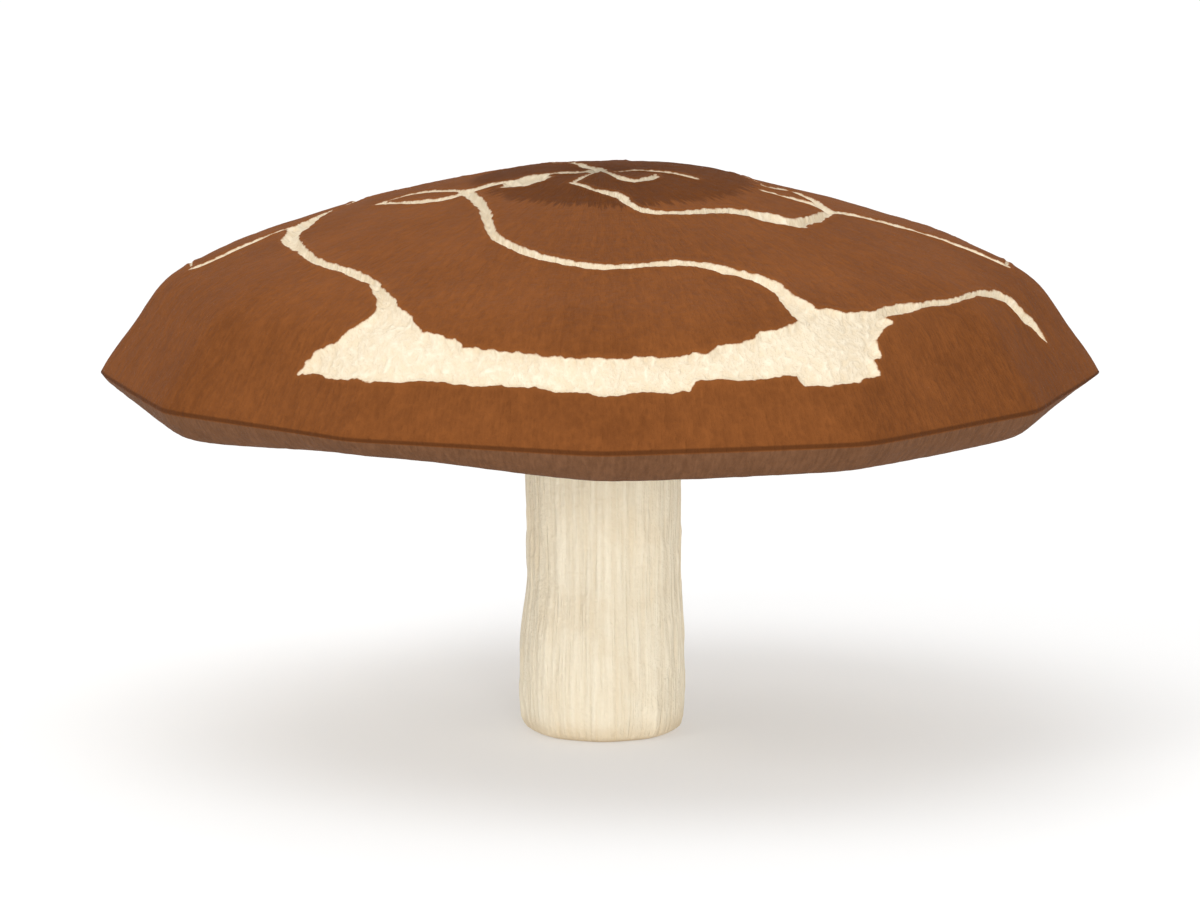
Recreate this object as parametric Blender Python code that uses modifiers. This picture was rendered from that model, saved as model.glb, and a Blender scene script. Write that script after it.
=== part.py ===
"""A shiitake mushroom that stands on the cut end of its stem: a cap, its gills and a stem.

Sizes are in metres. The origin is the middle of the cut end, +Z is up and -Y is the front. Angles round
the mushroom are in radians, from the front towards +X. A section is a list of (radius, height) points.
"""

import math
import random

import bmesh
import bpy
from mathutils import Vector

MM = 0.001
TURN = 2 * math.pi

# Driving sizes
CAP_RADIUS = 45.0 * MM
MARGIN_HEIGHT = 33.0 * MM
GAP = 0.3 * MM
COLUMNS = 60

# The cap's skin: from the middle of the top to the margin, then round the rolled rim and in under it
SKIN = [
    (0.0, 51.4),
    (5.0, 51.6),
    (12.9, 50.2),
    (22.0, 47.9),
    (31.0, 45.0),
    (35.5, 43.3),
    (39.0, 41.3),
    (42.0, 37.4),
    (44.6, 33.9),
    (45.0, 33.0),
    (44.6, 32.2),
    (43.8, 31.2),
    (42.6, 30.3),
    (41.6, 30.1),
    (40.95, 30.6),
]

# The flesh over the gills: from the rim's inner lip up to the ceiling and in to the stem
CEILING = [
    (40.7, 31.6),
    (40.2, 33.3),
    (38.2, 35.6),
    (34.0, 37.4),
    (28.0, 38.8),
    (22.0, 39.8),
    (15.0, 40.6),
    (8.2, 41.0),
]
SECTION_STEP = 2.4 * MM

# The socket in the flesh that the stem grows into
SOCKET_RADIUS = 7.6 * MM
SOCKET_TOP = 44.0 * MM

# How far the margin reaches, and how much higher the rim's underside is, every 30 degrees from the front
MARGIN_REACH = [45.0, 46.0, 44.6, 45.2, 44.4, 45.6, 44.8, 45.7, 44.5, 45.2, 44.4, 43.7]
RIM_LIFT = [0.0, 0.05, 0.2, 1.4, 0.4, -0.3, 0.3, -0.2, 0.4, 0.8, 0.1, 0.75]
RIM_HEIGHT = 2.8 * MM
RIM_INNER = 34.0 * MM
RIM_OUTER = 41.0 * MM

# The cap's twelve rounded corners, and the low swelling on the right of the crown
SIDES = 12
CORNER_SHARPNESS = 70
CORNERS_START = 0.25
SWELLING = 0.45 * MM
SWELLING_RADIUS = 10.0 * MM
SWELLING_WIDTH = 3.5 * MM

# Gills: thin plates in three tiers, which hang from a backing under the ceiling
BACKING = [(39.3, 31.7), (38.4, 33.8), (33.4, 35.8), (8.2, 39.5)]
BACKING_COLUMNS = 36
BACKING_STEP = 8.0 * MM
ROOT_DEPTH = 0.5 * MM
BLADE_THICKNESS = 0.65 * MM
GILL_FAMILIES = 36
GILL_TIERS = [(0.0, 8.7), (0.5, 14.5), (0.25, 25.5), (0.75, 27.0)]
GILL_EDGE = [(8.0, 38.6), (10.0, 36.8), (14.0, 34.7), (20.0, 33.2), (28.0, 32.2), (35.0, 31.7), (40.0, 32.0)]
GILL_OUTER = 39.6 * MM
GILL_RISE = 5.0 * MM
GILL_STEP = 6.0 * MM
GILL_JITTER = math.radians(0.35)
GILL_INNER_SPREAD = 0.9 * MM

# Stem: its section from the cut end up to the socket, its centre line's offset and its eight soft ridges
STEM_FOOT_EDGE = 1.1
STEM_SECTION = [(7.35, 1.1), (7.5, 2.8), (7.48, 8.0), (6.95, 14.2), (7.0, 22.0), (7.05, 30.0), (7.2, 43.2)]
STEM_CENTRE = [(0.0, 0.3), (8.0, 0.14), (14.0, 0.34), (22.0, 0.3), (34.0, 0.0), (60.0, 0.0)]
STEM_TOP_EDGE = 0.5
STEM_COLUMNS = 32
STEM_STEP = 2.4 * MM
RIDGES = 8
RIDGE_DEPTH = 0.012


def section(points):
    """The section's points in metres, from (radius, height) in millimetres."""
    return [Vector((radius * MM, 0.0, height * MM)) for radius, height in points]


def part_way(value, start, end):
    """How far a value has gone from start to end, as 0 to 1."""
    return min(max((value - start) / (end - start), 0.0), 1.0)


def smooth_line(points, step):
    """A smooth line through the points, with a point about every step."""
    lengths = [(b - a).length for a, b in zip(points, points[1:])]
    chords = [(b - a) / length for a, b, length in zip(points, points[1:], lengths)]
    slopes = [chords[0]]
    for i in range(1, len(chords)):
        slopes.append((chords[i - 1] * lengths[i] + chords[i] * lengths[i - 1]) / (lengths[i - 1] + lengths[i]))
    slopes.append(chords[-1])
    line = [points[0]]
    for i, length in enumerate(lengths):
        pieces = max(1, round(length / step))
        for piece in range(1, pieces + 1):
            t = piece / pieces
            start = points[i] * (2 * t**3 - 3 * t**2 + 1) + slopes[i] * length * (t**3 - 2 * t**2 + t)
            end = points[i + 1] * (3 * t**2 - 2 * t**3) + slopes[i + 1] * length * (t**3 - t**2)
            line.append(start + end)
    return line


def inset(line, distance):
    """The line moved down and in by a distance, square to itself."""
    moved = []
    for i, point in enumerate(line):
        along = line[min(i + 1, len(line) - 1)] - line[max(i - 1, 0)]
        along.normalize()
        moved.append(point + Vector((along.z, 0.0, -along.x)) * distance * -1)
    return moved


def height_on(line, radius):
    """The height of a line of (radius, height) points at a radius."""
    for a, b in zip(line, line[1:]):
        low, high = sorted((a.x, b.x))
        if low <= radius <= high:
            return a.z + (b.z - a.z) * (radius - a.x) / (b.x - a.x)
    nearest = min(line, key=lambda point: abs(point.x - radius))
    return nearest.z


def round_value(values, angle):
    """A value given every 30 degrees from the front, eased between those angles."""
    place = angle / TURN * len(values)
    first = math.floor(place)
    t = place - first
    before, start, end, after = (values[(first + k) % len(values)] for k in (-1, 0, 1, 2))
    bend = 2 * before - 5 * start + 4 * end - after
    twist = 3 * start - before - 3 * end + after
    return start + 0.5 * ((end - before) * t + bend * t**2 + twist * t**3)


def cornered(angle):
    """The reach of a twelve-sided ring with rounded corners, as a share of its reach at a corner."""
    half_side = TURN / SIDES / 2
    from_middle = abs(angle % (2 * half_side) - half_side)
    sides = math.cos(from_middle) ** CORNER_SHARPNESS + math.cos(2 * half_side - from_middle) ** CORNER_SHARPNESS
    return (2 * math.cos(half_side) ** CORNER_SHARPNESS / sides) ** (1 / CORNER_SHARPNESS)


def grown(radius, height, angle):
    """The radius and height that a point of the even section has on the uneven, cornered cap."""
    reach = radius / CAP_RADIUS
    out = radius + (round_value(MARGIN_REACH, angle) * MM - CAP_RADIUS) * reach**3
    out *= 1 - (1 - cornered(angle)) * part_way(reach, CORNERS_START, 1.0)
    low = part_way(MARGIN_HEIGHT - height, 0.0, RIM_HEIGHT) * part_way(radius, RIM_INNER, RIM_OUTER)
    swollen = SWELLING * math.exp(-(((radius - SWELLING_RADIUS) / SWELLING_WIDTH) ** 2))
    on_top = part_way(height, SOCKET_TOP, SOCKET_TOP + RIM_HEIGHT)
    up = height + low * round_value(RIM_LIFT, angle) * MM + on_top * swollen * max(0.0, math.sin(angle))
    return out, up


def turned(name, line, columns, closed):
    """A mesh object with a section turned once round the Z axis."""
    mesh = bpy.data.meshes.new(name)
    edges = [(i, i + 1) for i in range(len(line) - 1)]
    if closed:
        edges.append((len(line) - 1, 0))
    mesh.from_pydata(line, edges, [])
    ob = bpy.data.objects.new(name, mesh)
    part.objects.link(ob)
    screw = ob.modifiers.new("turn", "SCREW")
    screw.steps = screw.render_steps = columns
    screw.use_merge_vertices = True
    screw.merge_threshold = 0.00001
    screw.use_smooth_shade = True
    return ob


def applied(ob):
    """The object with its modifiers turned into mesh."""
    ob.data = bpy.data.meshes.new_from_object(ob.evaluated_get(bpy.context.evaluated_depsgraph_get()))
    ob.modifiers.clear()
    return ob


def reshape(ob, move):
    """Moves every point of a mesh by a rule on its (radius, height, angle)."""
    for vertex in ob.data.vertices:
        x, y, height = vertex.co
        angle = math.atan2(x, -y)
        radius, height = move(math.hypot(x, y), height, angle)
        vertex.co = (radius * math.sin(angle), -radius * math.cos(angle), height)


def material(name, colour, roughness):
    """A plain matt material in the colour that the photograph shows."""
    mat = bpy.data.materials.new(name)
    mat.use_nodes = True
    shader = mat.node_tree.nodes["Principled BSDF"]
    shader.inputs["Base Color"].default_value = (*colour, 1.0)
    shader.inputs["Roughness"].default_value = roughness
    shader.inputs["Metallic"].default_value = 0.0
    return mat


def finish(ob, mat):
    """Gives a piece its material and smooth shading with crisp turns."""
    ob.data.materials.clear()
    ob.data.materials.append(mat)
    ob.data.shade_smooth()
    ob.data.set_sharp_from_angle(angle=math.radians(50))


def make_cap():
    """The domed cap with its rolled rim, hollowed for the gills and socketed for the stem."""
    outside = smooth_line(section(SKIN), SECTION_STEP)
    inside = smooth_line(section(CEILING), SECTION_STEP)
    socket = [
        Vector((SOCKET_RADIUS, 0.0, inside[-1].z)),
        Vector((SOCKET_RADIUS, 0.0, SOCKET_TOP)),
        Vector((0.0, 0.0, SOCKET_TOP)),
    ]
    cap = applied(turned("cap", outside + inside + socket, COLUMNS, closed=False))
    reshape(cap, grown)
    finish(cap, material("cap skin", (0.252, 0.087, 0.027), 0.75))


def make_blade(name, inner, angle, root_line, edge_line):
    """One gill: a thin plate from inside the backing down to the gills' edge, as far out as the rim."""
    steps = max(2, round((GILL_OUTER - inner) / GILL_STEP))
    radii = [inner + (GILL_OUTER - inner) * step / steps for step in range(1, steps + 1)]
    radii.insert(0, inner + GILL_RISE * 0.35)
    lower = []
    for radius in radii:
        root = height_on(root_line, radius)
        eased = 1 - (1 - part_way(radius, inner, inner + GILL_RISE)) ** 2
        lower.append((radius, root + (height_on(edge_line, radius) - root) * eased))
    turns = [point.x for point in root_line[::-1] if inner < point.x < GILL_OUTER]
    upper = [(radius, height_on(root_line, radius)) for radius in [inner, *turns, GILL_OUTER]]
    outline = [grown(radius, height, angle) for radius, height in upper + lower[::-1]]
    bm = bmesh.new()
    side = Vector((math.cos(angle), math.sin(angle), 0.0)) * BLADE_THICKNESS / 2
    corners = []
    for radius, height in outline:
        on_plane = Vector((radius * math.sin(angle), -radius * math.cos(angle), height))
        corners.append(bm.verts.new(on_plane - side))
    face = bm.faces.new(corners)
    thick = bmesh.ops.extrude_face_region(bm, geom=[face])
    moved = [item for item in thick["geom"] if isinstance(item, bmesh.types.BMVert)]
    bmesh.ops.translate(bm, verts=moved, vec=side * 2)
    bmesh.ops.recalc_face_normals(bm, faces=bm.faces)
    bmesh.ops.triangulate(bm, faces=bm.faces)
    mesh = bpy.data.meshes.new(name)
    bm.to_mesh(mesh)
    bm.free()
    return bpy.data.objects.new(name, mesh)


def make_gills():
    """Radial gills in three tiers on their backing, joined into one body."""
    upper_side = inset(smooth_line(section(CEILING), BACKING_STEP), GAP)
    lower_side = section(BACKING)
    gills = applied(turned("gills", lower_side + upper_side[::-1], BACKING_COLUMNS, closed=True))
    reshape(gills, grown)
    root_line = inset(lower_side, -ROOT_DEPTH)
    edge_line = section(GILL_EDGE)
    blades = bpy.data.collections.new("gill blades")
    bpy.context.scene.collection.children.link(blades)
    chance = random.Random(12)
    for family in range(GILL_FAMILIES):
        for place, inner in GILL_TIERS:
            angle = (family + place) / GILL_FAMILIES * TURN + chance.uniform(-GILL_JITTER, GILL_JITTER)
            start = inner * MM + chance.uniform(0.0, GILL_INNER_SPREAD)
            name = f"blade {family} {place}"
            blades.objects.link(make_blade(name, start, angle, root_line, edge_line))
    union = gills.modifiers.new("join", "BOOLEAN")
    union.operation = "UNION"
    union.operand_type = "COLLECTION"
    union.collection = blades
    union.solver = "MANIFOLD"
    applied(gills)
    for blade in list(blades.objects):
        bpy.data.objects.remove(blade)
    bpy.data.collections.remove(blades)
    finish(gills, material("gill flesh", (0.78, 0.66, 0.46), 0.8))


def stem_shape(radius, height, angle):
    """The stem's radius with its soft ridges, which fade into the cut end and the socket."""
    return radius * (1 - RIDGE_DEPTH * (1 - math.cos(RIDGES * angle))), height


def make_stem():
    """The stem: a solid stalk with a flat cut end, its upper end in the cap's socket."""
    foot = STEM_SECTION[0]
    top = STEM_SECTION[-1]
    foot_edge = [(foot[0] - STEM_FOOT_EDGE, 0.0), (foot[0] - STEM_FOOT_EDGE * 0.3, STEM_FOOT_EDGE * 0.3)]
    top_edge = [(top[0] - STEM_TOP_EDGE, top[1] + STEM_TOP_EDGE)]
    side = smooth_line(section(STEM_SECTION), STEM_STEP)
    ends = section(foot_edge), section(top_edge)
    axis_low = [Vector((0.0, 0.0, 0.0))]
    axis_high = [Vector((0.0, 0.0, ends[1][0].z))]
    line = axis_high + ends[1] + side[::-1] + ends[0][::-1] + axis_low
    stem = applied(turned("stem", line, STEM_COLUMNS, closed=False))
    reshape(stem, stem_shape)
    centre = [Vector((x * MM, 0.0, height * MM)) for height, x in STEM_CENTRE]
    bend = smooth_line(centre, STEM_STEP)
    for vertex in stem.data.vertices:
        above = next(point for point in bend if point.z >= vertex.co.z)
        below = bend[max(bend.index(above) - 1, 0)]
        t = part_way(vertex.co.z, below.z, above.z) if above.z > below.z else 0.0
        vertex.co.x += below.x + (above.x - below.x) * t
    finish(stem, material("stem skin", (0.80, 0.70, 0.52), 0.8))


for old in list(bpy.data.objects):
    bpy.data.objects.remove(old)
part = bpy.data.collections.new("shiitake mushroom")
bpy.context.scene.collection.children.link(part)
make_cap()
make_gills()
make_stem()
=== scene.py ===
"""The looks of a shiitake mushroom: a brown cap whose skin has split, crowded gills and a fibrous stem.

Forms are worked out in millimetres and turned into metres as they become meshes. Angles round the
mushroom run from the front, which is -Y, towards +X. A section is a row of (radius, height) points.
"""

import math

import bpy
import numpy as np
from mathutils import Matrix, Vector, noise
from mathutils.bvhtree import BVHTree
from mathutils.geometry import delaunay_2d_cdt


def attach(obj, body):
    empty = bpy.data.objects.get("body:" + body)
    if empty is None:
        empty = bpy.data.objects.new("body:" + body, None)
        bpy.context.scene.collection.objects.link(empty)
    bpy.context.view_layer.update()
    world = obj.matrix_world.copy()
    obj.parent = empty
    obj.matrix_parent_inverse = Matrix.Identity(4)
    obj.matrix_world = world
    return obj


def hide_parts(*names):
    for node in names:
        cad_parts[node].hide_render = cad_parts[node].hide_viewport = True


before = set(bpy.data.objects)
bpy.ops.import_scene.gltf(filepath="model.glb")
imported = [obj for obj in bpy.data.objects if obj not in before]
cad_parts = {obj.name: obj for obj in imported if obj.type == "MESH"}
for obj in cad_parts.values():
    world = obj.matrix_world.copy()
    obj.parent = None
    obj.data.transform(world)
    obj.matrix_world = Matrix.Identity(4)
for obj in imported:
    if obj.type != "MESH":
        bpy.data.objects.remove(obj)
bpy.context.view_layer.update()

MM = 0.001
TURN = 2 * math.pi

# The cap's form, as the solid has it but for finer corners and a rim up to half a millimetre higher
CAP_RADIUS = 45.0
MARGIN_HEIGHT = 33.0
MARGIN_POINT = 9
SKIN = [
    (0.0, 51.4),
    (5.0, 51.5),
    (12.9, 50.1),
    (22.0, 47.9),
    (31.0, 45.1),
    (35.5, 43.5),
    (39.1, 41.4),
    (42.1, 37.3),
    (44.7, 33.55),
    (45.0, 33.0),
    (44.6, 32.2),
    (43.8, 31.2),
    (42.6, 30.3),
    (41.6, 30.1),
    (40.95, 30.6),
]
CEILING = [
    (40.7, 31.6),
    (40.2, 33.3),
    (38.2, 35.6),
    (34.0, 37.4),
    (28.0, 38.8),
    (22.0, 39.8),
    (15.0, 40.6),
    (8.2, 41.0),
]
SOCKET = [(7.6, 41.0), (7.6, 44.0), (0.0, 44.0)]
MARGIN_REACH = [45.0, 46.0, 44.6, 45.2, 44.4, 45.6, 44.8, 45.7, 44.5, 45.2, 44.4, 43.7]
RIM_LIFT = [0.0, 0.05, 0.2, 1.85, 0.4, -0.3, 0.3, -0.2, 0.4, 1.0, 0.05, 1.1]
RIM_HEIGHT = 2.8
RIM_INNER = 34.0
RIM_OUTER = 41.0
SIDES = 12
CORNER_SHARPNESS = 120
CORNERS_START = 0.25
SWELLING = 0.55
SWELLING_RADIUS = 11.0
SWELLING_WIDTH = 4.0

# How finely the cap is made: spacing on plain skin, near a split and at a split's edge
SECTION_STEP = 0.1
SKIN_SPACING = 0.62
NEAR_SPACING = 0.3
EDGE_SPACING = 0.15
NEAR_REACH = 0.9
EDGE_REACH = 0.3
THIN_SPLIT_PARTS = 5
RING_LEAST_POINTS = 6
SAME_PLACE = 0.002
CAP_COLUMNS = 480
RIM_STEP = 0.4
CEILING_STEP = 4.0
PALE_WITHIN = 1.5

# The splits that the photograph shows, as (x, y, width) in pixels of its 1200 by 900 frame
PHOTO_WIDTH = 1200
PHOTO_HEIGHT = 900
FRONT_SPLITS = [
    [
        (387, 308, 20), (381, 294, 13), (373.5, 282, 9), (360, 276, 7), (345, 270.5, 6), (328, 265, 6),
        (313, 259.5, 6.5), (301.5, 249.5, 9.5), (289, 239, 14), (298.5, 229, 10.5), (311, 220, 5),
        (327, 213, 2.5),
    ],
    [
        (297, 226, 2.5), (284, 230, 2.5), (271, 234.5, 2.5), (254, 242, 2.2), (233, 251, 2), (213, 260.5, 2),
        (200, 266, 2), (191, 269, 1.5),
    ],
    [
        (462, 192, 4), (473, 196, 10), (483, 206, 10), (488, 222, 9.5), (491, 232, 8), (504.5, 242.5, 8),
        (522.5, 251.5, 7), (545, 257.5, 6), (574, 264, 5.5), (604, 267.5, 4.5), (636, 266, 4.5),
        (668, 263.5, 5.5), (697, 264.5, 5.5), (719, 268.5, 6.5), (751, 277, 7.5), (775, 286, 10),
        (791, 300, 14), (806, 315, 23),
    ],
    [(470, 191, 4), (495, 184, 3), (512, 181, 2)],
    [(380, 204, 2), (395, 199, 2), (413, 194, 2), (449, 191, 2), (464, 191, 2.5)],
    [(380, 204, 2.5), (400, 203, 2.5), (431, 201, 3), (449, 198, 3), (464, 193, 3)],
    [
        (503, 187.3, 1.5), (512, 185.6, 3), (517, 184, 7), (523, 182, 10.5), (530, 179.5, 11),
        (536, 177.5, 7), (541, 175.8, 3), (550, 173.8, 1.5), (566, 172, 1.5),
    ],
    [(556, 173, 1.5), (572, 173, 3), (585, 172, 4), (601, 170, 1.5)],
    [(571, 162.5, 1.5), (582, 165, 3.5), (590, 168, 4), (601, 170, 2)],
    [(601, 170, 1.5), (586, 176, 1.8), (572, 183, 2)],
    [
        (572, 183, 2), (583, 186, 2.5), (594, 190, 3), (612, 194, 5), (623, 198, 6), (627, 203, 6),
        (637, 208, 5), (654, 212, 3.5), (670, 213, 3), (686, 213, 3), (700, 212, 4), (712, 211, 5),
        (724, 210.5, 6.5), (744, 212.5, 6.5), (770, 218, 7.5), (795, 222.5, 9.5), (815, 219, 8),
        (828, 213, 6),
    ],
    [
        (829, 212, 4), (840, 213, 3), (879, 221.5, 2.5), (904, 228, 2.5), (943, 240, 2.5), (975, 252, 2.5),
        (1006, 266, 2),
    ],
    [(829, 211, 4), (812, 200, 3), (796, 193, 2), (765, 186.5, 2)],
    [(829, 211, 4), (806, 202, 3), (786, 197, 2.5), (764, 191, 2)],
    [(601, 170, 2), (614, 175.5, 3), (623, 179.4, 4), (634, 181, 3)],
    [(639, 181.5, 2), (647, 179.5, 5), (655, 177.5, 5), (655, 175, 2)],
    [(617, 172, 1.5), (631, 170.3, 1.5), (654, 171.4, 1.5), (675, 173.7, 2), (697, 179, 1.5)],
    [
        (845, 321, 20), (872, 316, 12), (892, 310.5, 11), (920, 305.5, 6.5), (955, 300.5, 5),
        (975, 294, 5.5), (990, 294, 5.5), (1004, 297.5, 8), (1017.5, 310, 8.5), (1033, 325, 7.5),
        (1041, 334, 5), (1046, 341, 1.5),
    ],
]
FRONT_BAND = [
    (298, 374), (304, 361.5), (317, 351), (334, 343), (350, 330.5), (367, 321), (381, 309), (392, 303.5),
    (403, 309), (411, 316), (423, 331), (440, 336), (457, 339), (463, 348), (520, 353), (603, 361),
    (660, 357.5), (709, 354), (716, 343.5), (754, 341.5), (761, 333), (783, 329.5), (800, 318.5),
    (812, 309.5), (838, 311), (849, 316.5), (882, 314), (894, 321), (883, 330.5), (877, 340),
    (882, 355), (875, 360), (881, 376), (841, 384.5), (804, 386), (797, 375.5), (745, 379.5),
    (696, 383), (690, 391), (604, 395.5), (540, 389), (482, 384.5), (420, 382), (359, 380),
]
ROUTE_STEP = 10.0
CAP_MIDDLE_PIXEL = (600, 320)
OUTLINE_REACH = 40

# The splits on the side that the photograph hides, as (degrees, radius, width), the last two in mm
BACK_SPLITS = [
    [
        (260, 25.1, 0.5), (250, 24.0, 0.7), (240, 25.5, 1.0), (229, 29.0, 1.2), (221, 33.5, 1.7),
        (212, 37.0, 2.6),
    ],
    [
        (234, 40.0, 0.5), (224, 38.6, 2.0), (212, 37.4, 3.4), (200, 38.3, 2.4), (188, 38.8, 2.0),
        (178, 37.9, 2.6), (168, 36.6, 3.7), (160, 36.9, 2.4), (152, 38.5, 1.0), (146, 40.0, 0.5),
    ],
    [
        (167, 35.6, 2.4), (163, 31.5, 1.2), (170, 27.5, 0.9), (182, 24.5, 0.7), (195, 22.5, 0.7),
        (205, 18.5, 0.9), (200, 14.0, 0.9), (189, 11.5, 0.6), (176, 9.6, 0.4), (166, 8.2, 0.25),
    ],
    [
        (93, 14.9, 0.4), (105, 13.5, 0.5), (122, 14.5, 0.7), (138, 18.0, 0.9), (143, 23.0, 1.1),
        (136, 28.0, 1.1), (126, 31.5, 1.0), (118, 33.6, 1.6), (112, 36.4, 2.8), (105, 38.2, 1.4),
        (100, 40.0, 0.5),
    ],
    [(113, 36.2, 1.6), (120, 38.0, 1.6), (129, 39.2, 0.8), (136, 40.3, 0.4)],
    [
        (216, 4.4, 0.3), (228, 8.5, 0.5), (236, 13.0, 0.8), (231, 18.0, 0.7), (237, 22.0, 0.5),
        (244, 24.4, 0.4),
    ],
    [(205, 18.5, 0.5), (217, 17.2, 0.4), (231, 17.8, 0.4)],
    [(143, 23.0, 0.6), (154, 24.4, 0.5), (166, 27.6, 0.4)],
    [(272, 36.9, 0.3), (265, 37.2, 0.22), (258, 37.7, 0.22), (251, 38.7, 0.8), (244, 39.8, 0.4)],
    [(87, 36.7, 0.3), (94, 37.0, 0.22), (100, 37.4, 0.22), (103, 37.8, 0.5), (106, 38.1, 0.9)],
    [(188, 38.6, 1.2), (190, 35.4, 0.8), (187, 32.4, 0.5), (190, 29.6, 0.25)],
]
BACK_STEP = 1.2
ABOVE_CAP = 90.0

# The cap without relief, which the splits are laid on, and the reach of a search round a split
SURFACE_STEP = 1.0
SURFACE_COLUMNS = 240
ROW_STEP = 0.5
FACING_START = 0.5
FACING_STEP = 0.05
FACING_TURN = 0.004
FAR_AWAY = 50.0
SPLIT_REACH = 3

# Relief of the splits and of the skin between them, with the sizes of its noise
SPLIT_DEPTH = 0.6
SPLIT_SLOPE = 0.45
SPLIT_BRINK = 0.06
FLESH_REACH = 0.1
CURL_HEIGHT = 0.09
CURL_PLACE = 0.3
CURL_WIDTH = 0.25
FORESHORTENED_MOST = 5.0
LEAST_HALF_WIDTH = 0.14
RAGGED_REACH = 2.5
RAGGED_SHARE = 0.4
RAGGED_MOST = 0.5
RAGGED_SIZE = 2.4
NOTCH_SHARE = 0.45
NOTCH_SIZE = 0.8
BAND_RAGGED_HALF = 0.75
UNROLLED_RADIUS = 40.0
SKIN_UNEVENNESS = 0.05
SKIN_UNEVEN_SIZE = 4.5
SKIN_FIBRE = 0.035
SKIN_FIBRE_SIZE = 1.1
SKIN_FIBRE_STRETCH = 0.12
RIM_FIBRE_SIZE = 1.0
RIM_FIBRE_STRETCH = 0.3
RIM_RELIEF_START = 1.5
FLESH_UNEVENNESS = 0.07
FLESH_UNEVEN_SIZE = 1.6
FLESH_TUFTS = 0.05
FLESH_TUFT_SIZE = 0.5
NOISE_SMOOTHNESS = 0.9
NOISE_FINER = 2.1

# Gills: the backing under the ceiling, and tiers of plates as (place in a family, inner radius, depth)
GAP = 0.3
BACKING = [(40.15, 32.0), (39.5, 33.0), (38.2, 34.2), (33.4, 35.9), (7.85, 39.5)]
BACKING_COLUMNS = 240
GILL_BACKING_STEP = 3.0
ROOT_LINE = np.array([(40.3, 32.3), (38.8, 34.2), (33.6, 36.4), (8.0, 40.0)])
EDGE_LINE = np.array([
    (8.0, 38.6), (10.0, 36.8), (14.0, 34.7), (20.0, 33.2), (28.0, 32.2), (35.0, 31.7), (40.2, 31.6),
])
GILL_FAMILIES = 36
GILL_TIERS = [
    (0.0, 8.7, 1.0),
    (0.5, 14.5, 1.0),
    (0.25, 25.5, 0.97),
    (0.75, 27.0, 0.97),
    (0.125, 33.8, 0.9),
    (0.375, 34.6, 0.85),
    (0.625, 33.4, 0.9),
    (0.875, 34.2, 0.85),
]
GILL_OUTER = 40.2
GILL_RISE = 5.0
GILL_STEP = 1.1
GILL_LEAST_POINTS = 8
GILL_CROWDING = 1.15
GILL_SEED = 12
GILL_ANGLE_SPREAD = 0.03
GILL_INNER_SPREAD = 0.9
GILL_RAGGED = 0.16
GILL_RAGGED_SIZE = 0.8
GILL_RAGGED_ROW = 7.3
GILL_WAVE = 0.3
GILL_WAVE_SIZE = 6.0
GILL_WAVE_ROW = 3.1
GILL_WAVE_LAYER = 5.0
GILL_ROOT_WAVE = 0.2
GILL_ROOT_DEPTH = 0.4
BLADE_ROOT_HALF = 0.24
BLADE_EDGE_HALF = 0.11
BLADE_SECTION = [(1, 0.0), (1, 0.5), (1, 0.93), (0, 1.0), (-1, 0.93), (-1, 0.5), (-1, 0.0)]

# Stem
STEM_FOOT_EDGE = 1.4
STEM_FOOT_ROUNDING = 0.3
STEM_SECTION = [
    (7.35, 1.4), (7.5, 3.2), (7.48, 8.0), (7.02, 14.2), (7.1, 22.0), (7.18, 30.0), (7.22, 37.5), (7.3, 39.5),
    (7.5, 40.9), (7.5, 43.2),
]
STEM_CENTRE = [(0.0, 0.3), (8.0, 0.14), (14.0, 0.34), (22.0, 0.3), (34.0, 0.0), (60.0, 0.0)]
STEM_TOP_EDGE = 0.5
STEM_FOOT_ROWS = 12
STEM_COLUMNS = 240
STEM_STEP = 0.36
STEM_RADIUS = 7.2
STEM_FIBRE = 0.11
STEM_FIBRE_SIZE = 0.55
STEM_FIBRE_STRETCH = 0.09
STEM_FLAKE = 0.13
STEM_FLAKE_SIZE = 2.2
STEM_FLAKE_STRETCH = 0.35
STEM_FLAKE_NOISE = (0.1, 0.45)
STEM_RELIEF_START = (0.15, 1.2)
STEM_RELIEF_END = (36.0, 40.0)
RIDGES = 8
RIDGE_DEPTH = 0.012

# Camera and light
FLOOR_SIZE = 8.0
SURROUND_STRENGTH = 0.76
LAMP_AIM = (0, 0, 0.03)
LAMPS = [
    ("overhead lamp", (-0.25, -0.1, 1.4), 1.2, 5.0),
    ("key lamp", (-0.8, -0.9, 0.9), 0.5, 3.0),
    ("front lamp", (0.2, -1.6, 0.3), 0.5, 9.0),
    ("back lamp", (-0.1, 1.1, 1.1), 0.8, 2.4),
]
CAMERA_DISTANCE = 900.0
CAMERA_ELEVATION = math.radians(9.5)
CAMERA_TARGET_HEIGHT = 25.8
PIXELS_PER_MM = 11.03
SENSOR_WIDTH = 36.0


def linear(red, green, blue):
    """A colour read from the photograph, 0 to 255 and none of it near 0, as a linear colour and alpha."""
    parts = [((value / 255 + 0.055) / 1.055) ** 2.4 for value in (red, green, blue)]
    return (*parts, 1.0)


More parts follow.
